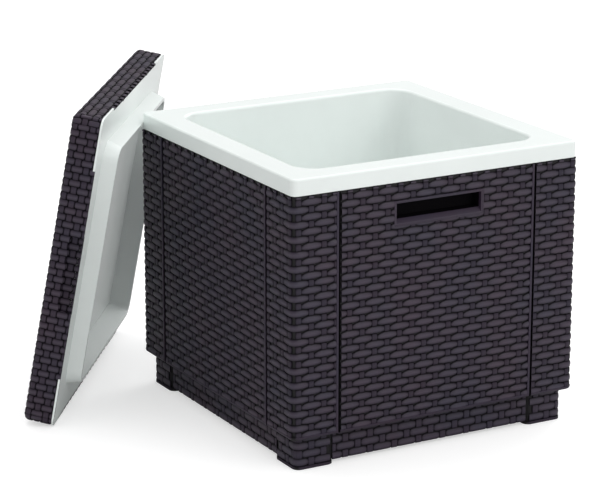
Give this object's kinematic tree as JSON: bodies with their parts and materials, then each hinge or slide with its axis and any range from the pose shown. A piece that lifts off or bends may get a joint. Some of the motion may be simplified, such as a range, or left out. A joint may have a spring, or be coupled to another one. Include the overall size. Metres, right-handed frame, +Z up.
{
  "type": "cooler table",
  "caption": "Square cool box used as a side table: woven-look moulded casing on a recessed base, deep lined tub with rim, hand holes, drain plug, and a tray lid leaning on the box.",
  "frame": {"origin": "on the floor under the middle of the box, midway between its four feet", "axes": "+X along the front face to the right, +Y from the front face to the back, +Z up; the lid leans on the box's back left corner"},
  "size_m": [0.6428, 0.6638, 0.423],
  "materials": {
    "casing": "satin, moulded weave",
    "liner": "smooth gloss",
    "drain": "plain moulded",
    "seal": "soft matte",
    "screws": "plain"
  },
  "bodies": {
    "box": {"corner_post_front_left": "casing", "corner_post_front_right": "casing", "corner_post_back_left": "casing", "corner_post_back_right": "casing", "front_panel": "casing", "back_panel": "casing", "left_panel": "casing", "right_panel": "casing", "front_grip": "casing", "back_grip": "casing", "base": "casing", "base_screws": "screws", "tub_liner": "liner", "drain_spout": "drain", "drain_washer": "seal", "drain_nut": "drain"},
    "plug": {"drain_plug": "liner", "drain_plug_ring": "seal"},
    "lid": {"lid_cover": "casing", "lid_tray": "liner"}
  },
  "joints": [
    {"name": "lid_lift", "type": "slide", "parent": "box", "child": "lid", "axis": [0, 0, 1], "range_m": [0, 0.45]},
    {"name": "plug_pull", "type": "slide", "parent": "box", "child": "plug", "axis": [0, 0, 1], "range_m": [0, 0.03]}
  ]
}
